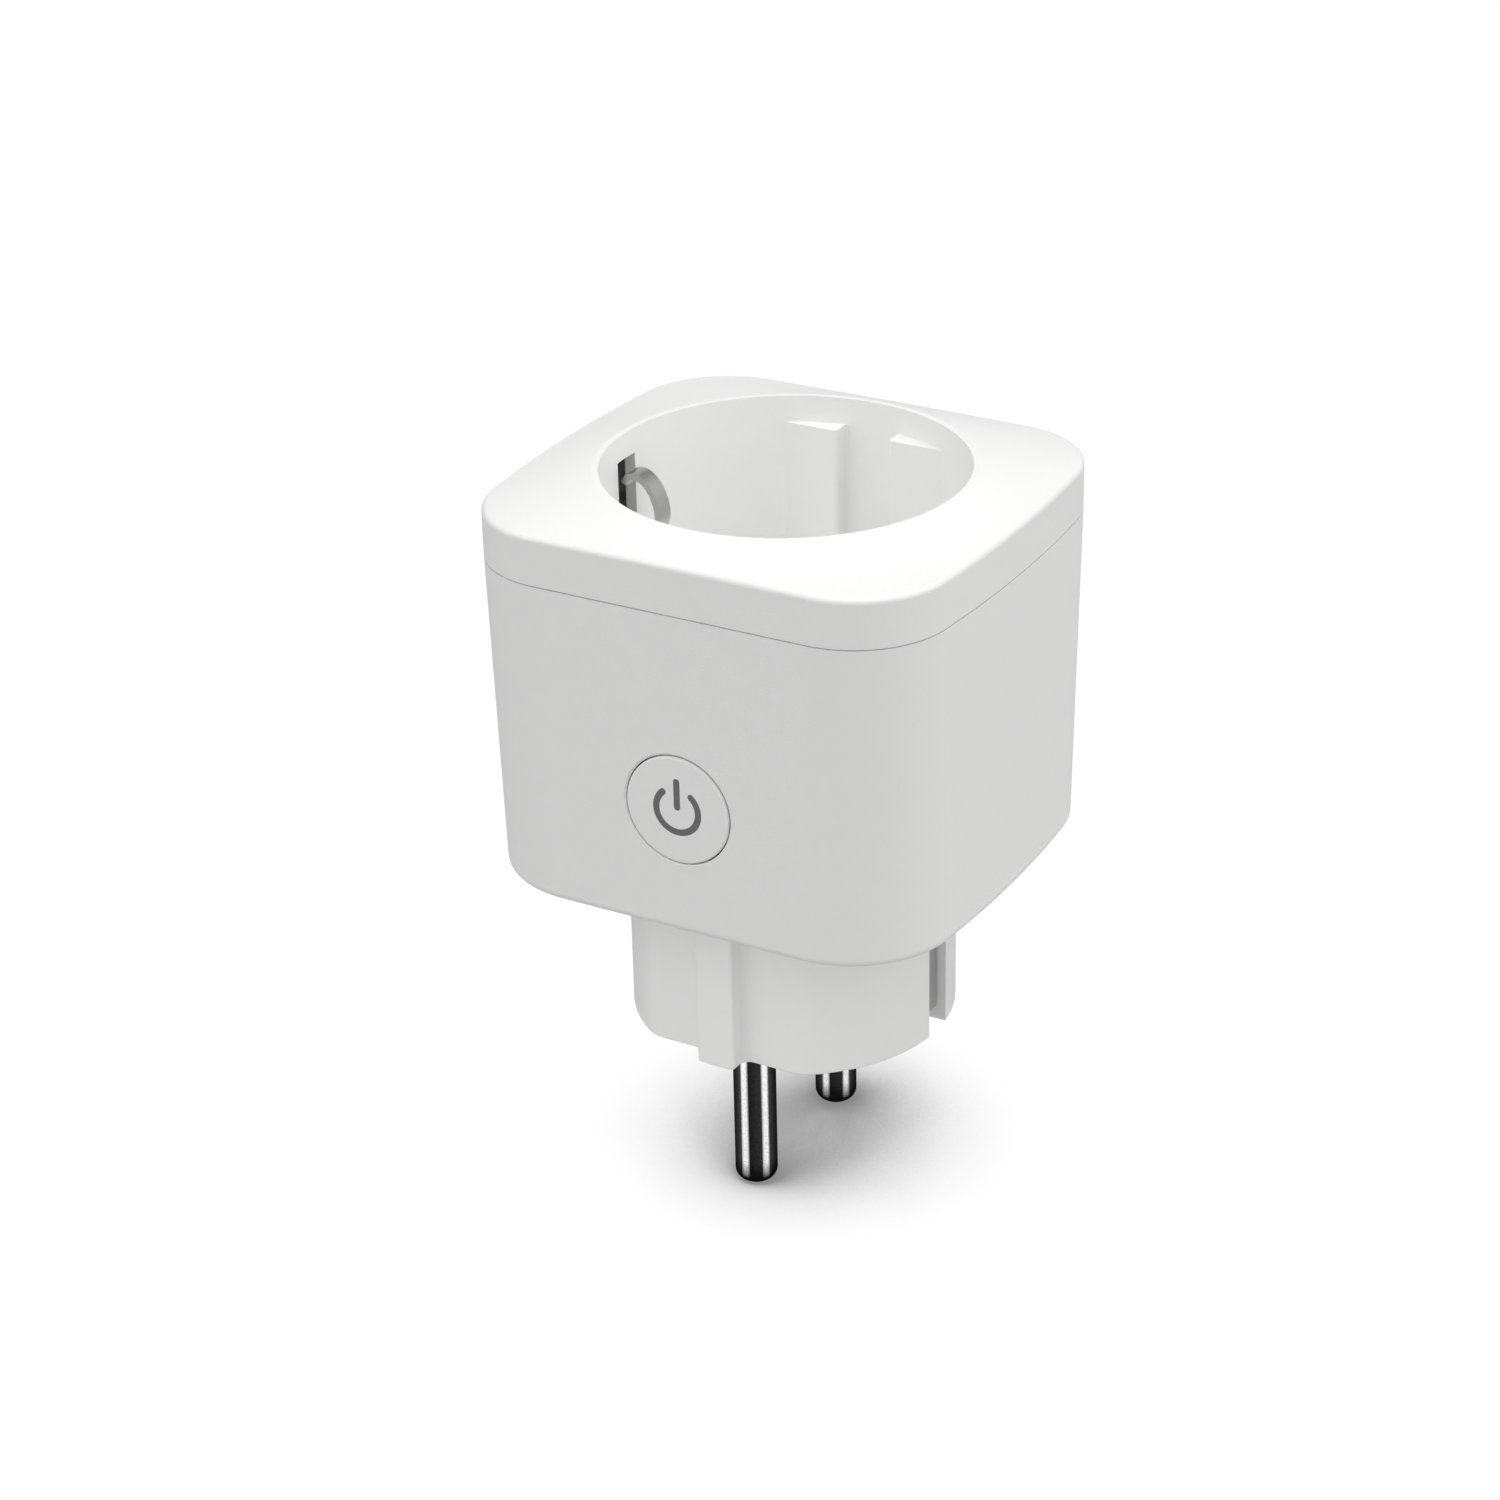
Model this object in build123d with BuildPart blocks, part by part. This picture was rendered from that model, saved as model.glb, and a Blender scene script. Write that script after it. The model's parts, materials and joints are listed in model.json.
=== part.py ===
"""Smart plug: grounded mains plug below, socket recess on top, push button in front.

Frame: origin at the centre of the barrel's end face, +Z towards the socket recess,
-Y towards the push button. Millimetres.
"""
from build123d import *
import os

os.makedirs("parts", exist_ok=True)

# ---------------------------------------------------------------- driving sizes
# Mains plug and socket standard
pin_spacing = 19.0
pin_radius = 2.4
pin_length = 19.0
pin_tip_fillet = 1.4
pin_hole_radius = 2.75
recess_radius = 19.75
recess_depth = 17.5
earth_face_distance = 16.9
earth_hole_offset = 10.0
earth_hole_radius = 2.55

# Body
body_width = 54.7
body_depth = 50.6
side_bow = 2.0
top_corner = 10.6
bottom_corner = 12.0
bottom_inset = 0.3
wall = 2.0
housing_height = 36.5
cover_height = 5.5
ring_rise = 1.8

# Barrel
barrel_radius = 18.1
barrel_length = 20.35
flat_distance = 15.6
tongue_half_width = 2.3
earth_slot_width = 4.0
earth_slot_floor = 15.9
spigot_radius = barrel_radius + 0.1
spigot_gap = 0.05

# Button
button_radius = 6.1
button_gap = 0.15
hole_bevel = 0.2
button_x = 0.5
button_drop = 22.0

# Circuit board
board_thickness = 1.6
board_clearance = 1.7

# ---------------------------------------------------------------- levels along Z
underside_z = barrel_length
housing_floor_z = underside_z + wall
parting_z = underside_z + housing_height
edge_z = parting_z + cover_height
rim_z = edge_z + ring_rise
recess_floor_z = rim_z - recess_depth
well_wall = 1.3
well_bottom_z = recess_floor_z - wall
board_z = housing_floor_z + board_clearance
board_top_z = board_z + board_thickness
front_y = -body_depth / 2
button_front_y = front_y + bottom_inset * button_drop / housing_height - 0.03
button_z = parting_z - button_drop
button_site = (button_x, button_z)
pin_y = pin_spacing / 2


def save(piece, name):
    """Label a finished piece and write it as its own STEP file."""
    piece.label = name
    export_step(piece, f"parts/{name}.step")


def body_outline(inset, corner):
    """Rounded rectangle with bowed left and right sides, seen from above."""
    half_x = body_width / 2 - inset
    half_y = body_depth / 2 - inset
    corner_x = half_x - side_bow
    with BuildSketch() as outline:
        with BuildLine():
            Line((-corner_x, -half_y), (corner_x, -half_y))
            ThreePointArc((corner_x, -half_y), (half_x, 0), (corner_x, half_y))
            Line((corner_x, half_y), (-corner_x, half_y))
            ThreePointArc((-corner_x, half_y), (-half_x, 0), (-corner_x, -half_y))
        make_face()
        fillet(outline.vertices(), corner)
    return outline.sketch


# ---------------------------------------------------------------- main housing
hook_x = 12.0
hook_ledge_z = parting_z - 6.0
screw_sites = [(19.8, 16.8), (18.6, -18.2), (-18.6, -18.2)]
screw_shank = 1.0
screw_reach = 2.6
post_radius = 2.2
underside_fillet = 0.9
ledge_size = (7.0, 1.2)
ledge_thickness = 1.0
inner_wall_y = body_depth / 2 - wall

with BuildPart() as main_housing:
    with BuildSketch(Plane.XY.offset(underside_z)):
        add(body_outline(bottom_inset, bottom_corner))
    with BuildSketch(Plane.XY.offset(parting_z)):
        add(body_outline(0, top_corner))
    loft()
    fillet(main_housing.faces().sort_by(Axis.Z)[0].edges(), underside_fillet)
    with BuildSketch(Plane.XY.offset(housing_floor_z)):
        add(body_outline(bottom_inset + wall, bottom_corner - wall))
    with BuildSketch(Plane.XY.offset(parting_z)):
        add(body_outline(wall, top_corner - wall))
    loft(mode=Mode.SUBTRACT)
    # Board posts, with blind screw holes
    with BuildSketch(Plane.XY.offset(housing_floor_z)):
        with Locations(*screw_sites):
            Circle(post_radius)
    extrude(amount=board_z - housing_floor_z)
    with BuildSketch(Plane.XY.offset(board_z)):
        with Locations(*screw_sites):
            Circle(screw_shank)
    extrude(amount=-screw_reach, mode=Mode.SUBTRACT)
    # Opening for the plug base
    with BuildSketch(Plane.XY.offset(underside_z - 1)):
        Circle(spigot_radius + spigot_gap)
    extrude(amount=wall + 2, mode=Mode.SUBTRACT)
    # Button hole in the front wall
    with BuildSketch(Plane.XZ.offset(-front_y - wall - 1)):
        with Locations(button_site):
            Circle(button_radius + button_gap)
    extrude(amount=wall + 2, mode=Mode.SUBTRACT)
    with BuildSketch(Plane.XZ.offset(-button_front_y + hole_bevel)):
        with Locations(button_site):
            Circle(button_radius + button_gap + 2 * hole_bevel)
    with BuildSketch(Plane.XZ.offset(-button_front_y - hole_bevel)):
        with Locations(button_site):
            Circle(button_radius + button_gap)
    loft(mode=Mode.SUBTRACT)
    # Ledges that catch the cover's hooks
    for side in (-1, 1):
        with BuildSketch(Plane.XY.offset(hook_ledge_z)):
            with Locations((-hook_x, side * inner_wall_y), (hook_x, side * inner_wall_y)):
                Rectangle(*ledge_size)
        extrude(amount=ledge_thickness)
save(main_housing.part, "main_housing")

# ---------------------------------------------------------------- top cover
rim_land = 0.7
rim_fillet = 0.4
edge_fillet = 0.6
parting_groove = 0.3
parting_groove_height = 0.15
slab_z = edge_z - 1.7
rib_chord = 17.2
rib_channel = 3.2
rib_top_z = rim_z - 3.0
rib_fillet = 0.5
rib_root_fillet = 0.6
slot_half_width = 1.8
slot_bottom_z = recess_floor_z + 0.8
slot_top_z = rim_z - 2.9
shutter_pin_radius = 1.5
shutter_pin_length = 2.1
hanger_y = 15.4
hanger_radius = 1.7
hanger_length = 2.2
carrier_screw_radius = 0.8
carrier_screw_reach = 3.6
skirt_gap = 0.1
skirt_depth = 2.5
skirt_wall = 1.2
skirt_root = 1.0
hook_size = (6.0, 1.2)
hook_drop = 1.4
hook_reach = 0.5

with BuildPart() as top_cover:
    # Cap and raised ring
    with BuildSketch(Plane.XY.offset(parting_z)):
        add(body_outline(0, top_corner))
    extrude(amount=cover_height)
    with BuildSketch(Plane.XY.offset(edge_z)):
        add(body_outline(0, top_corner))
    with BuildSketch(Plane.XY.offset(rim_z)):
        Circle(recess_radius + rim_land)
    loft()
    fillet(top_cover.edges().filter_by_position(Axis.Z, edge_z - 0.01, edge_z + 0.01), edge_fillet)
    # Shadow groove above the parting line
    with BuildSketch(Plane.XY.offset(parting_z)):
        add(body_outline(0, top_corner))
        add(body_outline(parting_groove, top_corner - parting_groove), mode=Mode.SUBTRACT)
    extrude(amount=parting_groove_height, mode=Mode.SUBTRACT)
    # Hollow under the slab
    with BuildSketch(Plane.XY.offset(parting_z)):
        add(body_outline(wall, top_corner - wall))
    extrude(amount=slab_z - parting_z, mode=Mode.SUBTRACT)
    # Well of the recess
    with BuildSketch(Plane.XY.offset(well_bottom_z)):
        Circle(recess_radius + well_wall)
    extrude(amount=edge_z - well_bottom_z)
    with BuildSketch(Plane.XY.offset(recess_floor_z)):
        Circle(recess_radius)
    extrude(amount=recess_depth + 1, mode=Mode.SUBTRACT)
    rim_edges = top_cover.edges().filter_by_position(Axis.Z, rim_z - 0.01, rim_z + 0.01)
    fillet(rim_edges.sort_by(Edge.length)[0], rim_fillet)
    # Guide ribs, each a slice of the round wall with a middle channel
    with BuildSketch(Plane.XY.offset(recess_floor_z)):
        Circle(recess_radius + well_wall / 2)
        Rectangle(3 * recess_radius, 2 * rib_chord, mode=Mode.SUBTRACT)
        Rectangle(2 * rib_channel, 3 * recess_radius, mode=Mode.SUBTRACT)
    extrude(amount=rib_top_z - recess_floor_z)
    upright = top_cover.edges().filter_by(Axis.Z)
    on_channel = upright.filter_by(lambda e: abs(abs(e.center().X) - rib_channel) < 0.01)
    fillet(on_channel.filter_by(lambda e: abs(abs(e.center().Y) - rib_chord) < 0.01), rib_fillet)
    fillet(on_channel.filter_by(lambda e: abs(e.center().Y) > rib_chord + 1), rib_root_fillet)
    # Slots for the earth clips
    with BuildSketch(Plane.XY.offset(slot_bottom_z)):
        with Locations((-recess_radius - well_wall / 2, 0), (recess_radius + well_wall / 2, 0)):
            Rectangle(2 * well_wall, 2 * slot_half_width)
    extrude(amount=slot_top_z - slot_bottom_z, mode=Mode.SUBTRACT)
    # Pin holes
    with BuildSketch(Plane.XY.offset(recess_floor_z)):
        with Locations((0, -pin_y), (0, pin_y)):
            Circle(pin_hole_radius)
    extrude(amount=-wall, mode=Mode.SUBTRACT)
    # Pivot of the shutter and hangers of the contact carrier
    with BuildSketch(Plane.XY.offset(well_bottom_z)):
        Circle(shutter_pin_radius)
    extrude(amount=-shutter_pin_length)
    with BuildSketch(Plane.XY.offset(well_bottom_z - hanger_length)):
        with Locations((0, -hanger_y), (0, hanger_y)):
            Circle(hanger_radius)
    extrude(amount=hanger_length)
    with BuildSketch(Plane.XY.offset(well_bottom_z - hanger_length)):
        with Locations((0, -hanger_y), (0, hanger_y)):
            Circle(carrier_screw_radius)
    extrude(amount=carrier_screw_reach, mode=Mode.SUBTRACT)
    # Skirt inside the housing wall, and the root that ties it to the cap
    inner_inset = wall + skirt_gap + skirt_wall
    inner_corner = top_corner - wall - skirt_wall
    with BuildSketch(Plane.XY.offset(parting_z - skirt_depth)):
        add(body_outline(wall + skirt_gap, top_corner - wall))
        add(body_outline(inner_inset, inner_corner), mode=Mode.SUBTRACT)
    extrude(amount=skirt_depth)
    with BuildSketch(Plane.XY.offset(parting_z)):
        add(body_outline(wall - 0.5, top_corner - wall))
        add(body_outline(inner_inset, inner_corner), mode=Mode.SUBTRACT)
    extrude(amount=skirt_root)
    # Snap hooks below the skirt
    hook_z = hook_ledge_z - hook_drop
    for side in (-1, 1):
        hook_y = side * (inner_wall_y - hook_size[1] - skirt_gap)
        barb_y = hook_y + side * hook_reach
        with BuildSketch(Plane.XY.offset(hook_z)):
            with Locations((-hook_x, hook_y), (hook_x, hook_y)):
                Rectangle(*hook_size)
        extrude(amount=parting_z - skirt_depth / 2 - hook_z)
        with BuildSketch(Plane.XY.offset(hook_z)):
            with Locations((-hook_x, barb_y), (hook_x, barb_y)):
                Rectangle(*hook_size)
        extrude(amount=hook_drop - skirt_gap)
save(top_cover.part, "top_cover")

# ---------------------------------------------------------------- plug base
flange_radius = 20.6
cavity_radius = 13.8
flat_end_fillet = 4.0
tongue_root_fillet = 1.1
tongue_fillet = 0.4
end_fillet = 0.3
passage_gap = 0.1
shank_radius = 2.2
shank_overrun = 0.6
tail_radius = 0.9
boss_height = 19.6
boss_radius = 4.2
earth_boss_radius = 3.9
pin_relief = 1.0
bridge_z = 17.0
bridge_thickness = 0.8
strip_thickness = 1.0
contact_sleeve_wall = 0.5
sleeve_z = 5.0
strip_width = 3.6
slot_centre = earth_slot_floor + 2
strip_centre = earth_face_distance - strip_thickness / 2
passage_x = strip_centre + passage_gap / 2

with BuildPart() as plug_base:
    # Barrel: a disc with two flats and two earth slots, and a guide tongue on each flat
    with BuildSketch():
        Circle(barrel_radius)
        Rectangle(3 * barrel_radius, 2 * flat_distance, mode=Mode.INTERSECT)
        with Locations((-slot_centre, 0), (slot_centre, 0)):
            Rectangle(2 * (slot_centre - earth_slot_floor), earth_slot_width, mode=Mode.SUBTRACT)
    extrude(amount=underside_z)
    with BuildSketch():
        Circle(barrel_radius)
        Rectangle(2 * tongue_half_width, 3 * barrel_radius, mode=Mode.INTERSECT)
    extrude(amount=underside_z)
    barrel_edges = plug_base.edges().filter_by(Axis.Z)
    flat_ends = barrel_edges.filter_by(lambda e: abs(abs(e.center().Y) - flat_distance) < 0.01)
    fillet(flat_ends.filter_by(lambda e: abs(e.center().X) > tongue_half_width + 1), flat_end_fillet)
    fillet(flat_ends.filter_by(lambda e: abs(e.center().X) < tongue_half_width + 1), tongue_root_fillet)
    fillet(barrel_edges.filter_by(lambda e: abs(e.center().Y) > flat_distance + 1), tongue_fillet)
    fillet(plug_base.faces().sort_by(Axis.Z)[0].edges(), end_fillet)
    # Spigot in the housing floor and clamping flange
    with BuildSketch(Plane.XY.offset(underside_z)):
        Circle(spigot_radius)
    extrude(amount=wall)
    with BuildSketch(Plane.XY.offset(housing_floor_z)):
        Circle(flange_radius)
    extrude(amount=board_z - housing_floor_z)
    # Cavity, with bosses round the pins and the earth contact
    with BuildSketch(Plane.XY.offset(wall)):
        Circle(cavity_radius)
    extrude(amount=board_z, mode=Mode.SUBTRACT)
    with BuildSketch():
        with Locations((0, -pin_y), (0, pin_y)):
            Circle(boss_radius)
    extrude(amount=boss_height)
    with BuildSketch():
        with Locations((earth_hole_offset, 0)):
            Circle(earth_boss_radius)
    extrude(amount=bridge_z)
    with BuildSketch():
        with Locations((0, -pin_y), (0, pin_y)):
            Circle(shank_radius)
        with Locations((earth_hole_offset, 0)):
            Circle(earth_hole_radius)
    extrude(amount=boss_height, mode=Mode.SUBTRACT)
    with BuildSketch():
        with Locations((0, -pin_y), (0, pin_y)):
            Circle(pin_radius)
    extrude(amount=pin_relief, mode=Mode.SUBTRACT)
    with BuildSketch(Plane.XY.offset(sleeve_z)):
        with Locations((earth_hole_offset, 0)):
            Circle(earth_hole_radius + contact_sleeve_wall)
    extrude(amount=bridge_z, mode=Mode.SUBTRACT)
    # Narrow passages for the earth strips above the slots
    with BuildSketch(Plane.XY.offset(underside_z)):
        with Locations((-passage_x, 0), (passage_x, 0)):
            Rectangle(strip_thickness + passage_gap, strip_width + 2 * passage_gap)
    extrude(amount=wall + board_clearance, mode=Mode.SUBTRACT)
    # Window for the earth bridge
    with BuildSketch(Plane.XY.offset(bridge_z)):
        Rectangle(2 * (earth_slot_floor + passage_gap), strip_width + 2 * passage_gap)
    extrude(amount=bridge_thickness + passage_gap, mode=Mode.SUBTRACT)
save(plug_base.part, "plug_base")

# ---------------------------------------------------------------- mains pins
for name, y in (("live_pin", pin_y), ("neutral_pin", -pin_y)):
    with BuildPart() as pin:
        with BuildSketch():
            with Locations((0, y)):
                Circle(pin_radius)
        extrude(amount=-pin_length)
        fillet(pin.faces().sort_by(Axis.Z)[0].edges(), pin_tip_fillet)
        with BuildSketch():
            with Locations((0, y)):
                Circle(shank_radius)
        extrude(amount=boss_height + shank_overrun)
        with BuildSketch(Plane.XY.offset(boss_height + shank_overrun)):
            with Locations((0, y)):
                Circle(tail_radius)
        extrude(amount=board_top_z - boss_height - shank_overrun)
    save(pin.part, name)

# ---------------------------------------------------------------- earth parts
strip_foot_z = 1.2
strip_chamfer = 0.7
strap_thickness = 0.8
strap_foot_z = board_top_z + 0.4
strap_level = 29.2
strap_x = 21.6
clip_root_z = recess_floor_z - 0.4
clip_root_gap = 0.1
clip_thickness = 0.7
clip_width = 2.2
clip_grip_x = 15.0
clip_grip_height = 8.2
clip_crest = (18.0, recess_floor_z + 13.05)
clip_tip = (19.4, recess_floor_z + 12.0)
contact_slit = 0.6

with BuildPart() as earth_strip:
    with BuildSketch(Plane.XY.offset(strip_foot_z)):
        with Locations((strip_centre, 0)):
            Rectangle(strip_thickness, strip_width)
    extrude(amount=strap_level - strip_foot_z)
    chamfer(earth_strip.faces().sort_by(Axis.Z)[0].edges().sort_by(Axis.X)[-1], strip_chamfer)

with BuildPart() as earth_strap:
    inner_x = earth_face_distance
    outer_x = strap_x + strap_thickness / 2
    with BuildSketch(Plane.XZ):
        with BuildLine():
            Polyline(
                (inner_x, strap_foot_z),
                (inner_x + strap_thickness, strap_foot_z),
                (inner_x + strap_thickness, strap_level),
                (outer_x, strap_level),
                (outer_x, clip_root_z),
                (outer_x - strap_thickness, clip_root_z),
                (outer_x - strap_thickness, strap_level + strap_thickness),
                (inner_x, strap_level + strap_thickness),
                close=True,
            )
        make_face()
    extrude(amount=strip_width / 2, both=True)

with BuildPart() as earth_clip:
    with BuildLine(Plane.XZ) as leaf:
        Spline(
            (strap_x, clip_root_z + clip_root_gap),
            (clip_grip_x + clip_thickness / 2, recess_floor_z + clip_grip_height),
            clip_crest,
            clip_tip,
            tangents=((0, 1), (0.2, -1)),
        )
    with BuildSketch(Plane(origin=leaf.line @ 0, x_dir=(0, 1, 0), z_dir=leaf.line % 0)):
        Rectangle(clip_width, clip_thickness)
    sweep()

for piece, name in (
    (earth_strip, "plug_earth_strip"),
    (earth_strap, "earth_strap"),
    (earth_clip, "earth_clip"),
):
    save(mirror(piece.part, about=Plane.YZ), f"{name}_left")
    save(piece.part, f"{name}_right")

with BuildPart() as earth_bridge:
    with BuildSketch(Plane.XY.offset(bridge_z)):
        Rectangle(2 * earth_slot_floor, strip_width)
    extrude(amount=bridge_thickness)
save(earth_bridge.part, "earth_bridge")

with BuildPart() as earth_pin_contact:
    with BuildSketch(Plane.XY.offset(sleeve_z)):
        with Locations((earth_hole_offset, 0)):
            Circle(earth_hole_radius + contact_sleeve_wall)
            Circle(earth_hole_radius, mode=Mode.SUBTRACT)
        with Locations((earth_hole_offset, earth_hole_radius)):
            Rectangle(contact_slit, 2 * earth_hole_radius, mode=Mode.SUBTRACT)
    extrude(amount=bridge_z - sleeve_z)
save(earth_pin_contact.part, "earth_pin_contact")

# ---------------------------------------------------------------- shutter
shutter_z = well_bottom_z - 1.9
shutter_thickness = 1.6
hub_radius = 4.4
lobe_radius = 12.7
lobe_half_angle = 19.0
lobe_corner = 0.8
running_gap = 0.06

with BuildPart() as shutter:
    with BuildSketch(Plane.XY.offset(shutter_z)):
        Circle(hub_radius)
        for middle in (90, 270):
            with BuildLine():
                start = middle - lobe_half_angle
                PolarLine((0, 0), lobe_radius, start)
                rim = CenterArc((0, 0), lobe_radius, start, 2 * lobe_half_angle)
                Line(rim @ 1, (0, 0))
            make_face()
        Circle(shutter_pin_radius + running_gap, mode=Mode.SUBTRACT)
    extrude(amount=shutter_thickness)
    lobe_edges = shutter.edges().filter_by(Axis.Z).sort_by(lambda e: -abs(e.center().Y))
    fillet(lobe_edges[0:4], lobe_corner)
save(shutter.part, "shutter")

# ---------------------------------------------------------------- contact carrier
carrier_z = well_bottom_z - 3.8
carrier_thickness = 1.6
carrier_size = (12.0, 34.0)
carrier_corner = 2.0
pocket_x = 0.3
pocket_outer = (7.7, 8.1)
pocket_inner = (6.5, 6.5)
pocket_bottom_z = 29.4
spring_pocket_radius = 3.1
spring_pocket_depth = 1.3
hole_gap = 0.1
screw_hole_gap = 0.05
coil_radius = 2.3
coil_pitch = 0.55
coil_height = 1.1
wire_radius = 0.2
coil_foot_z = carrier_z + 0.58
carrier_head = (1.5, 1.0)
carrier_screw_length = 5.0
cross_recess = (1.9, 0.4)
cross_depth = 0.5

pin_sites = [(0, -pin_y), (0, pin_y)]
hanger_sites = [(0, -hanger_y), (0, hanger_y)]
pocket_sites = [(pocket_x, -pin_y), (pocket_x, pin_y)]

with BuildPart() as contact_carrier:
    with BuildSketch(Plane.XY.offset(carrier_z)):
        RectangleRounded(*carrier_size, carrier_corner)
    extrude(amount=carrier_thickness)
    with BuildSketch(Plane.XY.offset(pocket_bottom_z)):
        with Locations(*pocket_sites):
            Rectangle(*pocket_outer)
    extrude(amount=carrier_z - pocket_bottom_z)
    with BuildSketch(Plane.XY.offset(pocket_bottom_z)):
        with Locations(*pocket_sites):
            Rectangle(*pocket_inner)
    extrude(amount=carrier_z - pocket_bottom_z, mode=Mode.SUBTRACT)
    with BuildSketch(Plane.XY.offset(carrier_z)):
        with Locations(*pin_sites):
            Circle(pin_hole_radius + hole_gap)
        with Locations(*hanger_sites):
            Circle(carrier_screw_radius + screw_hole_gap)
    extrude(amount=carrier_thickness, mode=Mode.SUBTRACT)
    with BuildSketch(Plane.XY.offset(carrier_z + carrier_thickness)):
        Circle(spring_pocket_radius)
    extrude(amount=-spring_pocket_depth, mode=Mode.SUBTRACT)
save(contact_carrier.part, "contact_carrier")

with BuildPart() as shutter_spring:
    with BuildLine():
        coil = Helix(pitch=coil_pitch, height=coil_height, radius=coil_radius, center=(0, 0, coil_foot_z))
    with BuildSketch(Plane(origin=coil @ 0, z_dir=coil % 0)):
        Circle(wire_radius)
    sweep()
save(shutter_spring.part, "shutter_spring")

with BuildPart() as carrier_screws:
    head_z = carrier_z - carrier_head[1]
    with BuildSketch(Plane.XY.offset(head_z)):
        with Locations(*hanger_sites):
            Circle(carrier_head[0])
    extrude(amount=carrier_head[1])
    with BuildSketch(Plane.XY.offset(carrier_z)):
        with Locations(*hanger_sites):
            Circle(carrier_screw_radius)
    extrude(amount=carrier_screw_length)
    with BuildSketch(Plane.XY.offset(head_z)):
        with Locations(*hanger_sites):
            Rectangle(*cross_recess)
            Rectangle(cross_recess[1], cross_recess[0])
    extrude(amount=cross_depth, mode=Mode.SUBTRACT)
save(carrier_screws.part, "carrier_screws")

# ---------------------------------------------------------------- socket contacts
grip_gap = 5.1
leaf_thickness = 0.6
leaf_corner = 0.5
leaf_tail_width = 3.0
pocket_clearance = 0.2
contact_bottom_z = pocket_bottom_z + pocket_clearance
back_x = grip_gap / 2 + leaf_thickness / 2

for name, y in (("live_socket_contact", pin_y), ("neutral_socket_contact", -pin_y)):
    with BuildPart() as contact:
        with BuildSketch(Plane.XY.offset(contact_bottom_z)):
            with Locations((0, y)):
                Rectangle(grip_gap + 2 * leaf_thickness, grip_gap + 2 * leaf_thickness)
                Rectangle(grip_gap, grip_gap, mode=Mode.SUBTRACT)
            with Locations((-back_x, y)):
                Rectangle(leaf_thickness, 2 * grip_gap, mode=Mode.SUBTRACT)
        extrude(amount=carrier_z - contact_bottom_z - pocket_clearance)
        fillet(contact.edges().filter_by(Axis.Z).sort_by(Axis.X)[-2:], leaf_corner)
        with BuildSketch(Plane.XY.offset(board_z)):
            with Locations((back_x, y)):
                Rectangle(leaf_thickness, leaf_tail_width)
        extrude(amount=contact_bottom_z - board_z)
    save(contact.part, name)

# ---------------------------------------------------------------- main board
board_edge_gap = 0.6
strip_slot_x = 17.0
strip_slot = (3.2, 4.4)
tail_slot = (leaf_thickness + 0.2, leaf_tail_width + 0.2)
tail_hole_gap = 0.05
board_hole_gap = 0.1
board_head = (2.0, 1.2)
board_screw_length = board_thickness + screw_reach - 0.1
drive_slot = (2.4, 0.5)
drive_depth = 0.7

with BuildPart() as main_board:
    with BuildSketch(Plane.XY.offset(board_z)):
        add(body_outline(wall + board_edge_gap, bottom_corner - wall))
        with Locations((-strip_slot_x, 0), (strip_slot_x, 0)):
            Rectangle(*strip_slot, mode=Mode.SUBTRACT)
        with Locations(*pin_sites):
            Circle(tail_radius + tail_hole_gap, mode=Mode.SUBTRACT)
        with Locations((back_x, -pin_y), (back_x, pin_y)):
            Rectangle(*tail_slot, mode=Mode.SUBTRACT)
        with Locations(*screw_sites):
            Circle(screw_shank + board_hole_gap, mode=Mode.SUBTRACT)
    extrude(amount=board_thickness)
save(main_board.part, "main_board")

with BuildPart() as board_screws:
    with BuildSketch(Plane.XY.offset(board_top_z)):
        with Locations(*screw_sites):
            Circle(board_head[0])
    extrude(amount=board_head[1])
    with BuildSketch(Plane.XY.offset(board_top_z)):
        with Locations(*screw_sites):
            Circle(screw_shank)
    extrude(amount=-board_screw_length)
    with BuildSketch(Plane.XY.offset(board_top_z + board_head[1])):
        with Locations(*screw_sites):
            Rectangle(*drive_slot)
            Rectangle(drive_slot[1], drive_slot[0])
    extrude(amount=-drive_depth, mode=Mode.SUBTRACT)
save(board_screws.part, "board_screws")

# ---------------------------------------------------------------- relay
relay_x = -13.5
relay_site = (relay_x, 11.8)
relay_size = (15.0, 18.5)
relay_height = 15.2
relay_skin = 0.8
relay_corner = 1.0
relay_edge = 0.5
relay_gap = 0.1
relay_cavity = (relay_size[0] - 2 * relay_skin, relay_size[1] - 2 * relay_skin)
relay_floor_z = board_top_z + 2.0
relay_foot_z = board_top_z + relay_gap
iron_width = 7.0
iron_thickness = 0.8
yoke_y = 3.8
yoke_length = 10.8
core_site = (relay_x, 9.4)
core_radius = 1.75
pole_z = relay_floor_z + 10.0
coil_steps = ((0.8, 1.6, 5.0), (1.6, 8.8, 4.5), (8.8, 9.6, 5.0))
armature_z = pole_z + 0.5
armature_y = 9.3
armature_length = 11.8
armature_thickness = 0.7
spring_leaf_y = 14.4
spring_leaf = (3.0, 9.6)
spring_leaf_thickness = 0.25
contact_site = (relay_x, 18.0)
contact_radius = 1.1
contact_travel = 0.9
contact_height = 1.0
post_y = 19.4
post_width = 4.0
post_thickness = 0.6
shelf_y = 18.2
shelf_length = 3.0

with BuildPart() as relay_base:
    with BuildSketch(Plane.XY.offset(board_top_z)):
        with Locations(relay_site):
            Rectangle(relay_cavity[0] - relay_gap, relay_cavity[1] - relay_gap)
    extrude(amount=relay_floor_z - board_top_z)
save(relay_base.part, "relay_base")

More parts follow.
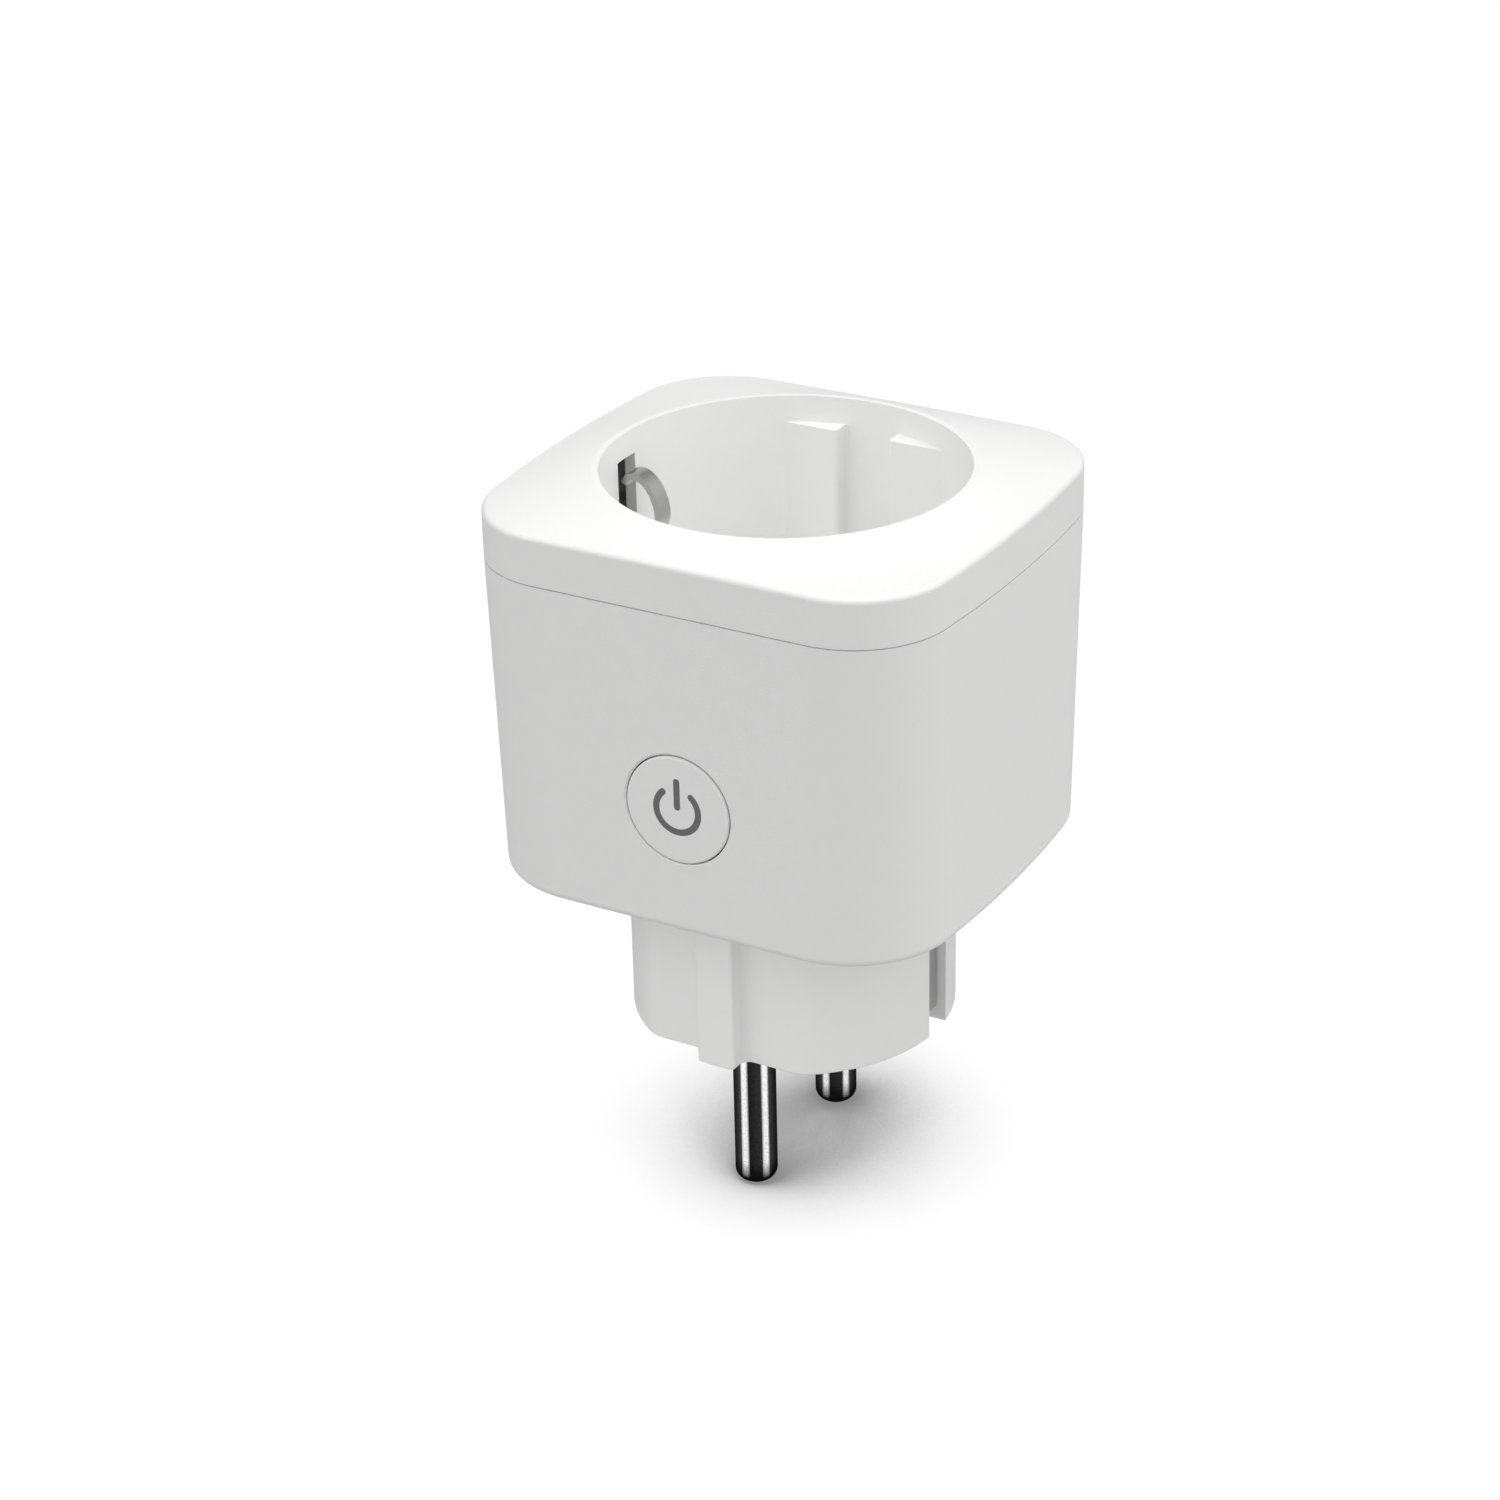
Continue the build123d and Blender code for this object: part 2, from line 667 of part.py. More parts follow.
with BuildPart() as relay_cover:
    with BuildSketch(Plane.XY.offset(relay_foot_z)):
        with Locations(relay_site):
            RectangleRounded(*relay_size, relay_corner)
    extrude(amount=relay_height - relay_gap)
    fillet(relay_cover.faces().sort_by(Axis.Z)[-1].edges(), relay_edge)
    with BuildSketch(Plane.XY.offset(relay_foot_z)):
        with Locations(relay_site):
            Rectangle(*relay_cavity)
    extrude(amount=relay_height - relay_gap - relay_skin, mode=Mode.SUBTRACT)
save(relay_cover.part, "relay_cover")

with BuildPart() as relay_frame:
    with BuildSketch(Plane.XY.offset(relay_floor_z)):
        with Locations((relay_x, yoke_y + (yoke_length - iron_thickness) / 2)):
            Rectangle(iron_width, yoke_length)
    extrude(amount=iron_thickness)
    with BuildSketch(Plane.XY.offset(relay_floor_z)):
        with Locations((relay_x, yoke_y)):
            Rectangle(iron_width, iron_thickness)
    extrude(amount=pole_z - relay_floor_z)
    with BuildSketch(Plane.XY.offset(relay_floor_z)):
        with Locations(core_site):
            Circle(core_radius)
    extrude(amount=pole_z - relay_floor_z)
save(relay_frame.part, "relay_frame")

with BuildPart() as relay_coil:
    for low, high, radius in coil_steps:
        with BuildSketch(Plane.XY.offset(relay_floor_z + low)):
            with Locations(core_site):
                Circle(radius)
        extrude(amount=high - low)
    with BuildSketch(Plane.XY.offset(relay_floor_z)):
        with Locations(core_site):
            Circle(core_radius)
    extrude(amount=pole_z - relay_floor_z, mode=Mode.SUBTRACT)
save(relay_coil.part, "relay_coil")

with BuildPart() as relay_armature:
    with BuildSketch(Plane.XY.offset(armature_z)):
        with Locations((relay_x, armature_y)):
            Rectangle(iron_width, armature_length)
        with Locations(contact_site):
            Circle(contact_radius)
    extrude(amount=armature_thickness)
    with BuildSketch(Plane.XY.offset(armature_z + armature_thickness)):
        with Locations((relay_x, spring_leaf_y)):
            Rectangle(*spring_leaf)
    extrude(amount=spring_leaf_thickness)
save(relay_armature.part, "relay_armature")

with BuildPart() as relay_contact:
    shelf_z = armature_z - contact_travel - contact_height
    with BuildSketch(Plane.XY.offset(relay_floor_z)):
        with Locations((relay_x, post_y)):
            Rectangle(post_width, post_thickness)
    extrude(amount=shelf_z - relay_floor_z)
    with BuildSketch(Plane.XY.offset(shelf_z)):
        with Locations((relay_x, shelf_y)):
            Rectangle(post_width, shelf_length)
    extrude(amount=-post_thickness)
    with BuildSketch(Plane.XY.offset(shelf_z)):
        with Locations(contact_site):
            Circle(contact_radius)
    extrude(amount=contact_height)
save(relay_contact.part, "relay_contact")

# ---------------------------------------------------------------- power supply
core_size = (9.2, 10.4)
core_window = (1.8, 6.8)
core_window_x = 2.3
core_depth = 6.4
core_x = 12.2
core_mid_z = board_top_z + 6.2
core_front_y = 14.0
winding_size = (6.2, 8.4)
winding_corner = 1.4
winding_bore = (2.8, 6.4)
winding_height = 6.4
winding_z = board_top_z + 3.0
capacitor_sites = [(11.6, 7.4), (20.0, 7.4)]
capacitor_radius = 4.0
capacitor_height = 12.0
capacitor_edge = 0.5
rectifier_site = (-12.4, -18.6)
rectifier_size = (5.0, 4.2)
rectifier_height = 2.4
rectifier_chamfer = 0.3
film_site = (11.0, -9.5)
film_size = (6.0, 13.0)
film_corner = 0.6
film_height = 11.0
film_edge = 0.5
varistor_x = -14.0
varistor_mid_z = board_top_z + 6.6
varistor_front_y = -13.2
varistor_radius = 5.2
varistor_thickness = 3.6
varistor_edge = 1.2
lead_half_pitch = 2.5
lead_radius = 0.4
lead_height = 4.5
fuse_start_x = -20.0
fuse_length = 11.0
fuse_centre = (-5.6, board_top_z + 2.4)
fuse_radius = 2.0
ferrule_radius = 2.3
ferrule_length = 2.5
shunt_x = -12.5
shunt_front_y = -15.6
shunt_size = (7.0, 4.0)
shunt_window = (5.4, 3.2)
shunt_window_drop = 0.5
shunt_thickness = 1.2

with BuildPart() as transformer_core:
    with BuildSketch(Plane.XZ.offset(-core_front_y)):
        with Locations((core_x, core_mid_z)):
            Rectangle(*core_size)
            with Locations((-core_window_x, 0), (core_window_x, 0)):
                Rectangle(*core_window, mode=Mode.SUBTRACT)
    extrude(amount=-core_depth)
save(transformer_core.part, "transformer_core")

with BuildPart() as transformer_winding:
    with BuildSketch(Plane.XY.offset(winding_z)):
        with Locations((core_x, core_front_y + core_depth / 2)):
            RectangleRounded(*winding_size, winding_corner)
            Rectangle(*winding_bore, mode=Mode.SUBTRACT)
    extrude(amount=winding_height)
save(transformer_winding.part, "transformer_winding")

with BuildPart() as bulk_capacitors:
    with BuildSketch(Plane.XY.offset(board_top_z)):
        with Locations(*capacitor_sites):
            Circle(capacitor_radius)
    extrude(amount=capacitor_height)
    fillet(bulk_capacitors.edges().filter_by(GeomType.CIRCLE), capacitor_edge)
save(bulk_capacitors.part, "bulk_capacitors")

with BuildPart() as bridge_rectifier:
    with BuildSketch(Plane.XY.offset(board_top_z)):
        with Locations(rectifier_site):
            Rectangle(*rectifier_size)
    extrude(amount=rectifier_height)
    chamfer(bridge_rectifier.faces().sort_by(Axis.Z)[-1].edges(), rectifier_chamfer)
save(bridge_rectifier.part, "bridge_rectifier")

with BuildPart() as filter_capacitor:
    with BuildSketch(Plane.XY.offset(board_top_z)):
        with Locations(film_site):
            RectangleRounded(*film_size, film_corner)
    extrude(amount=film_height)
    fillet(filter_capacitor.faces().sort_by(Axis.Z)[-1].edges(), film_edge)
save(filter_capacitor.part, "filter_capacitor")

with BuildPart() as varistor:
    lead_y = varistor_front_y + varistor_thickness / 2
    with BuildSketch(Plane.XZ.offset(-varistor_front_y)):
        with Locations((varistor_x, varistor_mid_z)):
            Circle(varistor_radius)
    extrude(amount=-varistor_thickness)
    fillet(varistor.edges(), varistor_edge)
    with BuildSketch(Plane.XY.offset(board_top_z)):
        with Locations((varistor_x - lead_half_pitch, lead_y), (varistor_x + lead_half_pitch, lead_y)):
            Circle(lead_radius)
    extrude(amount=lead_height)
save(varistor.part, "varistor")

with BuildPart() as fuse:
    with BuildSketch(Plane.YZ.offset(fuse_start_x)):
        with Locations(fuse_centre):
            Circle(fuse_radius)
    extrude(amount=fuse_length)
    for ferrule_x in (fuse_start_x, fuse_start_x + fuse_length - ferrule_length):
        with BuildSketch(Plane.YZ.offset(ferrule_x)):
            with Locations(fuse_centre):
                Circle(ferrule_radius)
        extrude(amount=ferrule_length)
save(fuse.part, "fuse")

with BuildPart() as shunt_resistor:
    with BuildSketch(Plane.XZ.offset(-shunt_front_y)):
        with Locations((shunt_x, board_top_z + shunt_size[1] / 2)):
            Rectangle(*shunt_size)
            with Locations((0, -shunt_window_drop)):
                Rectangle(*shunt_window, mode=Mode.SUBTRACT)
    extrude(amount=-shunt_thickness)
save(shunt_resistor.part, "shunt_resistor")

# ---------------------------------------------------------------- radio module
radio_x = 20.6
radio_y = -9.1
radio_size = (12.6, 15.6)
radio_thickness = 0.8
shield_mid_z = board_top_z + 6.4
shield_size = (10.4, 9.6)
shield_corner = 0.5
shield_height = 2.0

with BuildPart() as radio_board:
    with BuildSketch(Plane.YZ.offset(radio_x)):
        with Locations((radio_y, board_top_z + radio_size[1] / 2)):
            Rectangle(*radio_size)
    extrude(amount=radio_thickness)
save(radio_board.part, "radio_board")

with BuildPart() as radio_shield:
    with BuildSketch(Plane.YZ.offset(radio_x)):
        with Locations((radio_y, shield_mid_z)):
            RectangleRounded(*shield_size, shield_corner)
    extrude(amount=-shield_height)
save(radio_shield.part, "radio_shield")

# ---------------------------------------------------------------- button group
button_face = Plane.XZ.offset(-button_front_y)
flange_front_y = -22.95
cap_thickness = flange_front_y - button_front_y
cap_fillet = 0.25
flange_thickness = 0.6
flange_overhang = 1.1
switch_board_size = (17.0, 15.6)
switch_board_thickness = 1.0
tact_front_y = 21.5
tact_back_y = 18.4
tact_size = 6.0
tact_corner = 0.4
tact_bore_radius = 1.8
tact_bore_depth = 1.7
plunger_radius = 1.75
plunger_tip_y = 22.0
plunger_length = 1.9
plunger_fillet = 0.3
led_size = (2.0, 1.4)
led_thickness = 0.8
led_lens_radius = 0.5
led_lens_height = 0.25
led_site = (button_x, button_z + 4.6)
icon_depth = 0.6
icon_stroke = 0.75
icon_radius = 2.5
icon_half_opening = 42.0
icon_bar_top = 3.3
icon_bar_bottom = 0.4

with BuildPart() as power_button:
    with BuildSketch(button_face):
        with Locations(button_site):
            Circle(button_radius)
    extrude(amount=-cap_thickness)
    fillet(power_button.faces().sort_by(Axis.Y)[0].edges(), cap_fillet)
    with BuildSketch(button_face.offset(-cap_thickness)):
        with Locations(button_site):
            Circle(button_radius + flange_overhang)
    extrude(amount=-flange_thickness)

with BuildPart() as power_icon:
    with BuildSketch(button_face):
        with BuildLine():
            ring_start = 90 + icon_half_opening
            CenterArc(button_site, icon_radius, ring_start, 360 - 2 * icon_half_opening)
            offset(amount=icon_stroke / 2)
        make_face()
        with Locations((button_x, button_z + (icon_bar_top + icon_bar_bottom) / 2)):
            SlotOverall(icon_bar_top - icon_bar_bottom + icon_stroke, icon_stroke, rotation=90)
    extrude(amount=-icon_depth)
save(power_icon.part, "power_icon")

with BuildPart() as power_button_cap:
    add(power_button.part)
    add(power_icon.part, mode=Mode.SUBTRACT)
save(power_button_cap.part, "power_button")

with BuildPart() as switch_board:
    with BuildSketch(Plane.XZ.offset(tact_back_y)):
        with Locations((0, board_top_z + switch_board_size[1] / 2)):
            Rectangle(*switch_board_size)
    extrude(amount=-switch_board_thickness)
save(switch_board.part, "switch_board")

with BuildPart() as tact_switch:
    with BuildSketch(Plane.XZ.offset(tact_back_y)):
        with Locations(button_site):
            RectangleRounded(tact_size, tact_size, tact_corner)
    extrude(amount=tact_front_y - tact_back_y)
    with BuildSketch(Plane.XZ.offset(tact_front_y)):
        with Locations(button_site):
            Circle(tact_bore_radius)
    extrude(amount=-tact_bore_depth, mode=Mode.SUBTRACT)
save(tact_switch.part, "tact_switch")

with BuildPart() as switch_plunger:
    with BuildSketch(Plane.XZ.offset(plunger_tip_y)):
        with Locations(button_site):
            Circle(plunger_radius)
    extrude(amount=-plunger_length)
    fillet(switch_plunger.faces().sort_by(Axis.Y)[0].edges(), plunger_fillet)
save(switch_plunger.part, "switch_plunger")

with BuildPart() as status_led:
    with BuildSketch(Plane.XZ.offset(tact_back_y)):
        with Locations(led_site):
            Rectangle(*led_size)
    extrude(amount=led_thickness)
    with BuildSketch(Plane.XZ.offset(tact_back_y + led_thickness)):
        with Locations(led_site):
            Circle(led_lens_radius)
    extrude(amount=led_lens_height)
save(status_led.part, "status_led")
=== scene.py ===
"""Looks of the smart plug: studio, camera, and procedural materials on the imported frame."""
import json
from math import cos, radians, sin

import bpy
from mathutils import Matrix, Vector


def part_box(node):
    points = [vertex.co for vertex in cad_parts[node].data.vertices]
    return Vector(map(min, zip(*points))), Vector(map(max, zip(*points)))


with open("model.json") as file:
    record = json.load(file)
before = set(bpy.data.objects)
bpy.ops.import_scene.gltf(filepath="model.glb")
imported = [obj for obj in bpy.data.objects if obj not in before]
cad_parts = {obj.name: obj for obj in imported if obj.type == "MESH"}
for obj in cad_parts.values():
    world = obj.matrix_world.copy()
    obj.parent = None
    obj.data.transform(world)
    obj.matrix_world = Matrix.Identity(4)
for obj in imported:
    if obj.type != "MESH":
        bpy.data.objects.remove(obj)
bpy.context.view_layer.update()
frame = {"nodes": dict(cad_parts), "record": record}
nodes = frame["nodes"]
scene = bpy.context.scene

MM = 0.001

# ---------------------------------------------------------------- places, from the frame
RIM_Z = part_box("top_cover")[1].z
PIN_TIP_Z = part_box("live_pin")[0].z

# ---------------------------------------------------------------- camera
CAMERA_AZIMUTH = radians(29.89)
CAMERA_ELEVATION = radians(26.57)
CAMERA_ROLL = radians(-1.3)
CAMERA_DISTANCE = 387.1 * MM
CAMERA_RIGHT = -3.75 * MM
CAMERA_UP = -30.06 * MM
LENS_MM = 88.46
SENSOR_MM = 36.0
CLIP_NEAR = 0.01
CLIP_FAR = 20


def camera_axes():
    """Right, up and back directions of the camera in the row frame."""
    a, e = CAMERA_AZIMUTH, CAMERA_ELEVATION
    back = Vector((sin(a) * cos(e), -cos(a) * cos(e), sin(e)))
    level_right = Vector((cos(a), sin(a), 0))
    level_up = back.cross(level_right)
    right = level_right * cos(CAMERA_ROLL) + level_up * sin(CAMERA_ROLL)
    up = back.cross(right)
    return right, up, back


def add_camera():
    """Places the camera at the photo's viewing angle."""
    right, up, back = camera_axes()
    data = bpy.data.cameras.new("camera")
    data.lens = LENS_MM
    data.sensor_width = SENSOR_MM
    data.clip_start = CLIP_NEAR
    data.clip_end = CLIP_FAR
    camera = bpy.data.objects.new("camera", data)
    scene.collection.objects.link(camera)
    place = Vector((0, 0, RIM_Z)) + back * CAMERA_DISTANCE + right * CAMERA_RIGHT + up * CAMERA_UP
    turn = Matrix((right, up, back)).transposed().to_4x4()
    camera.matrix_world = Matrix.Translation(place) @ turn
    scene.camera = camera


# ---------------------------------------------------------------- node helpers
class Nodes:
    """Builds the node tree of a material or a world, line by line."""

    def __init__(self, owner):
        owner.use_nodes = True
        self.owner = owner
        self.tree = owner.node_tree
        self.tree.nodes.clear()

    def add(self, kind, inputs=None, **settings):
        node = self.tree.nodes.new(kind)
        for key, value in settings.items():
            setattr(node, key, value)
        for key, value in (inputs or {}).items():
            if isinstance(value, bpy.types.NodeSocket):
                self.tree.links.new(value, node.inputs[key])
            else:
                node.inputs[key].default_value = value
        return node

    def object_point(self):
        return self.add("ShaderNodeTexCoord").outputs["Object"]

    def geometry(self, name):
        return self.add("ShaderNodeNewGeometry").outputs[name]

    def axis(self, vector, index):
        """One component of a vector: 0 for X, 1 for Y, 2 for Z."""
        return self.add("ShaderNodeSeparateXYZ", {0: vector}).outputs[index]

    def stretch(self, point, factors):
        return self.add("ShaderNodeVectorMath", {0: point, 1: factors}, operation="MULTIPLY").outputs[0]

    def unit(self, vector):
        return self.add("ShaderNodeVectorMath", {0: vector}, operation="NORMALIZE").outputs[0]

    def math(self, operation, *values):
        """A Math node on two or three values."""
        return self.add("ShaderNodeMath", dict(enumerate(values)), operation=operation).outputs[0]

    def noise(self, point, scale, detail=3.0, roughness=0.5):
        return self.add(
            "ShaderNodeTexNoise",
            {"Vector": point, "Scale": scale, "Detail": detail, "Roughness": roughness},
        ).outputs["Fac"]

    def spread(self, value, low, high, from_low=0.0, from_high=1.0):
        return self.add(
            "ShaderNodeMapRange",
            {
                "Value": value,
                "From Min": from_low,
                "From Max": from_high,
                "To Min": low,
                "To Max": high,
            },
        ).outputs["Result"]

    def ramp(self, value, stops):
        node = self.add("ShaderNodeValToRGB", {"Fac": value})
        elements = node.color_ramp.elements
        elements.remove(elements[1])
        elements[0].position = stops[0][0]
        elements[0].color = grey(stops[0][1])
        for place, level in stops[1:]:
            elements.new(place).color = grey(level)
        return node.outputs[0]

    def mix_colour(self, factor, first, second):
        return self.add("ShaderNodeMix", {0: factor, 6: first, 7: second}, data_type="RGBA").outputs[2]

    def mix_shader(self, factor, first, second):
        return self.add("ShaderNodeMixShader", {0: factor, 1: first, 2: second}).outputs[0]

    def bump(self, height, strength, distance, normal=None):
        inputs = {"Height": height, "Strength": strength, "Distance": distance}
        if normal is not None:
            inputs["Normal"] = normal
        return self.add("ShaderNodeBump", inputs).outputs["Normal"]

    def principled(self, inputs):
        """Ends a material with one Principled shader."""
        return self.finish(self.add("ShaderNodeBsdfPrincipled", inputs).outputs[0])

    def finish(self, surface, output="ShaderNodeOutputMaterial"):
        self.add(output, {"Surface": surface})
        return self.owner


def new_material(name):
    return Nodes(bpy.data.materials.new(name))


def grey(value):
    return (value, value, value, 1)


def scaled(colour, factor):
    """The colour made darker or lighter, with each channel at most 1."""
    return tuple(min(1, c * factor) for c in colour[:3]) + (1,)


# ---------------------------------------------------------------- materials
# Noise scales, in cells per metre
DRIFT_SCALE = 60
SMUDGE_SCALE = 130
GRAIN_SCALE = 5200
SCRATCH_SCALE = 6000
CLOUD_SCALE = 300
COPPER_AREA_SCALE = 380
PAD_SCALE = 300
WEAVE_SCALE = 3000
TARNISH_SCALE = 260
BOARD_GLOSS_SCALE = 240
PIN_POLISH_SCALE = 400
PIN_WOBBLE_SCALE = 2500
PIN_SPECKLE_SCALE = 7000
PAPER_SCALE = 900
# Heights above the pin's end between which the painted reflection bands die out, their darkest tone, and
# the strength of the painted glow: the pin emits its painted bands though it is no lamp
PIN_FADE = (1.0 * MM, 3.2 * MM)
PIN_DARKEST = 0.006
PIN_PAINTED_GLOW = 0.6
# Length over which a wave texture of scale 1 repeats
WAVE_LENGTH = 0.314
# Edges sharper than this stay crisp
CREASE = radians(28)
# Painted reflection: brightness across a pin as the camera sees it, from its left edge (0) to its right
# edge (1)
PIN_REFLECTION_BANDS = (
    (0.00, 0.02),
    (0.16, 0.06),
    (0.21, 1.0),
    (0.29, 0.9),
    (0.35, 0.012),
    (0.64, 0.03),
    (0.69, 0.9),
    (0.77, 1.0),
    (0.82, 0.05),
    (1.00, 0.012),
)


def plastic(name, colour, roughness, grain):
    """Moulded plastic: fine eroded grain, faint colour drift, uneven gloss from handling."""
    n = new_material(name)
    point = n.object_point()
    drift = n.spread(n.noise(point, DRIFT_SCALE), 0.97, 1.0)
    base = n.mix_colour(drift, scaled(colour, 0.96), colour)
    smudge = n.spread(n.noise(point, SMUDGE_SCALE, 5, 0.6), roughness - 0.06, roughness + 0.08)
    fine = n.noise(point, GRAIN_SCALE, 2)
    normal = n.bump(fine, grain, 0.04 * MM)
    return n.principled({"Base Color": base, "Roughness": smudge, "Normal": normal, "IOR": 1.5})


def metal(name, colour, roughness, scratch_axis=(1, 1, 0.04)):
    """Plated metal with fine drawn scratches and cloudy polish."""
    n = new_material(name)
    point = n.object_point()
    scratch = n.noise(n.stretch(point, scratch_axis), SCRATCH_SCALE, 2)
    cloud = n.noise(point, CLOUD_SCALE, 4)
    rough = n.spread(cloud, roughness * 0.7, roughness * 1.5)
    normal = n.bump(scratch, 0.12, 0.02 * MM)
    return n.principled({"Base Color": colour, "Metallic": 1.0, "Roughness": rough, "Normal": normal})


def circuit_board(name, mask):
    """Glossy solder mask over raised copper areas, with a few bare tinned pads."""
    n = new_material(name)
    point = n.object_point()
    cells = n.add(
        "ShaderNodeTexVoronoi",
        {"Vector": point, "Scale": COPPER_AREA_SCALE},
        feature="DISTANCE_TO_EDGE",
    )
    gap = n.spread(cells.outputs["Distance"], 0, 1, 0.05, 0.09)
    base = n.mix_colour(gap, mask, scaled(mask, 1.7))
    pads = n.add("ShaderNodeTexVoronoi", {"Vector": point, "Scale": PAD_SCALE}, feature="F1")
    bare = n.spread(pads.outputs["Distance"], 1, 0, 0.13, 0.16)
    colour = n.mix_colour(bare, base, grey(0.62))
    height = n.math("MAXIMUM", gap, bare)
    weave = n.bump(n.noise(point, WEAVE_SCALE, 2), 0.1, 0.03 * MM)
    return n.principled(
        {
            "Base Color": colour,
            "Metallic": n.spread(bare, 0, 0.9),
            "Roughness": n.spread(n.noise(point, BOARD_GLOSS_SCALE, 4), 0.22, 0.42),
            "Normal": n.bump(height, 0.4, 0.04 * MM, weave),
        }
    )


def wound_wire(name, colour, pitch):
    """Enamelled wire laid turn on turn, a little uneven, with painted shade in the grooves between turns.
    """
    n = new_material(name)
    point = n.object_point()
    turns = n.add(
        "ShaderNodeTexWave",
        {"Vector": point, "Scale": WAVE_LENGTH / pitch, "Distortion": 0.6, "Detail": 2.0},
        wave_type="BANDS",
        bands_direction="Z",
    ).outputs["Fac"]
    return n.principled(
        {
            # Painted shade: the same bands that raise the turns colour the grooves between them darker
            "Base Color": n.mix_colour(turns, scaled(colour, 0.35), colour),
            "Metallic": 0.85,
            "Roughness": n.spread(n.noise(point, TARNISH_SCALE, 4), 0.2, 0.45),
            "Normal": n.bump(turns, 0.8, 0.1 * MM),
        }
    )


def polished_pin_painted_reflection(name):
    """Bright plating with a painted reflection: upright light and dark bands that face the camera, as two
    soft boxes would reflect.

    The bands are painted from the direction the surface faces; no light in the scene makes them, and the
    pin glows with them as emission.
    """
    n = new_material(name)
    point = n.object_point()
    normal = n.geometry("Normal")
    seen = n.add(
        "ShaderNodeVectorTransform",
        {"Vector": normal},
        vector_type="NORMAL",
        convert_from="WORLD",
        convert_to="CAMERA",
    ).outputs[0]
    drawn = n.stretch(point, (1, 1, 0.03))
    wobble = n.spread(n.noise(drawn, PIN_WOBBLE_SCALE, 3), -0.03, 0.03)
    across = n.math("ADD", n.axis(seen, 0), wobble)
    bands = n.ramp(n.spread(across, 0, 1, -1, 1), PIN_REFLECTION_BANDS)
    # The painted reflection bands die out on the rounded tip
    upright = n.spread(n.axis(normal, 2), 0, 1, -0.45, -0.05)
    fade = n.spread(n.axis(point, 2), 0.02, 1, *(PIN_TIP_Z + rise for rise in PIN_FADE))
    shine = n.math("MULTIPLY", bands, n.math("MULTIPLY", upright, fade))
    # Noise speckles the painted reflection unevenly
    speckle = n.spread(n.noise(point, PIN_SPECKLE_SCALE, 4, 0.7), 0.45, 1.4, 0.3, 0.7)
    speckled_shine = n.math("MULTIPLY", shine, speckle)
    tone = n.math("MINIMUM", n.math("MAXIMUM", speckled_shine, PIN_DARKEST), 1.0)
    colour = n.add("ShaderNodeCombineColor", {0: tone, 1: tone, 2: tone}).outputs[0]
    return n.principled(
        {
            "Base Color": colour,
            "Metallic": 1.0,
            "Specular Tint": grey(0.12),
            "Roughness": n.spread(n.noise(point, PIN_POLISH_SCALE, 4), 0.12, 0.28),
            "Normal": n.bump(n.noise(drawn, SCRATCH_SCALE, 2), 0.08, 0.01 * MM),
            # The painted bands also glow as emission, though the pin is no lamp
            "Emission Color": colour,
            "Emission Strength": PIN_PAINTED_GLOW,
        }
    )


FINISH = {
    "white_shell": plastic("white_shell", (0.862, 0.860, 0.857, 1), 0.42, 0.6),
    "icon_grey": plastic("icon_grey", grey(0.15), 0.35, 0.1),
    "pin_nickel": metal("pin_nickel", grey(0.6), 0.16),
    "spring_steel": metal("spring_steel", grey(0.45), 0.3),
    "contact_brass": metal("contact_brass", (0.75, 0.55, 0.26, 1), 0.3),
    "steel": metal("zinc_steel", grey(0.55), 0.35),
    "copper": wound_wire("copper_wire", (0.72, 0.36, 0.17, 1), 0.25 * MM),
    "tin_can": metal("tinned_can", grey(0.7), 0.3),
    "grey_plastic": plastic("grey_plastic", (0.45, 0.46, 0.48, 1), 0.5, 0.3),
    "black_plastic": plastic("black_plastic", grey(0.03), 0.45, 0.3),
    "blue_plastic": plastic("relay_blue", (0.05, 0.16, 0.5, 1), 0.35, 0.2),
    "board_green": circuit_board("solder_mask", (0.02, 0.14, 0.06, 1)),
    "ferrite": plastic("ferrite", grey(0.06), 0.6, 0.4),
    "yellow_box": plastic("film_capacitor", (0.7, 0.55, 0.08, 1), 0.35, 0.2),
    "blue_disc": plastic("varistor_coat", (0.06, 0.12, 0.4, 1), 0.4, 0.5),
    "glass_tube": plastic("ceramic_tube", (0.75, 0.72, 0.62, 1), 0.3, 0.1),
}
PIN_PAINTED_REFLECTION_FINISH = polished_pin_painted_reflection("pin_plating")
PINS = ("live_pin", "neutral_pin")


def dress_frame():
    """Gives every CAD node its finish and smooth shading with crisp edges."""
    for part in frame["record"]["subparts"]:
        node = nodes[part["node"]]
        node.data.materials.clear()
        finish = PIN_PAINTED_REFLECTION_FINISH if part["node"] in PINS else FINISH[part["material_slot"]]
        node.data.materials.append(finish)
        node.data.shade_smooth()
        node.data.set_sharp_from_angle(angle=CREASE)


# ---------------------------------------------------------------- studio
# The contact shadow, painted into the floor's material from ambient occlusion, not cast by a lamp: its
# lean, reach and levels
SHADOW_LEAN = (-0.02, -0.3, 1.0)
SHADOW_REACH = 30 * MM
CONTACT_REACH = 12 * MM
SHADOW_LEVELS = ((0.44, 0.34), (0.54, 0.42), (0.64, 0.76), (0.74, 0.92), (0.88, 1.03))
SHADOW_SAMPLES = 16
CONTACT_SAMPLES = 8
CONTACT_DARKEST = 0.75
FLOOR_HALF = 3.0
FLOOR_BOUNCE = 0.5
DOME_FILL = 0.275
KEY_POWER = 3.8
RECESS_FILL = 0.0012
BARREL_FILL = 0.045
# Soft boxes in the dome: azimuth from -Y towards +X, elevation, sharpness, strength
SOFT_BOXES = (
    (-30, 42, 4, 1.74),
    (105, 25, 4, 1.88),
)


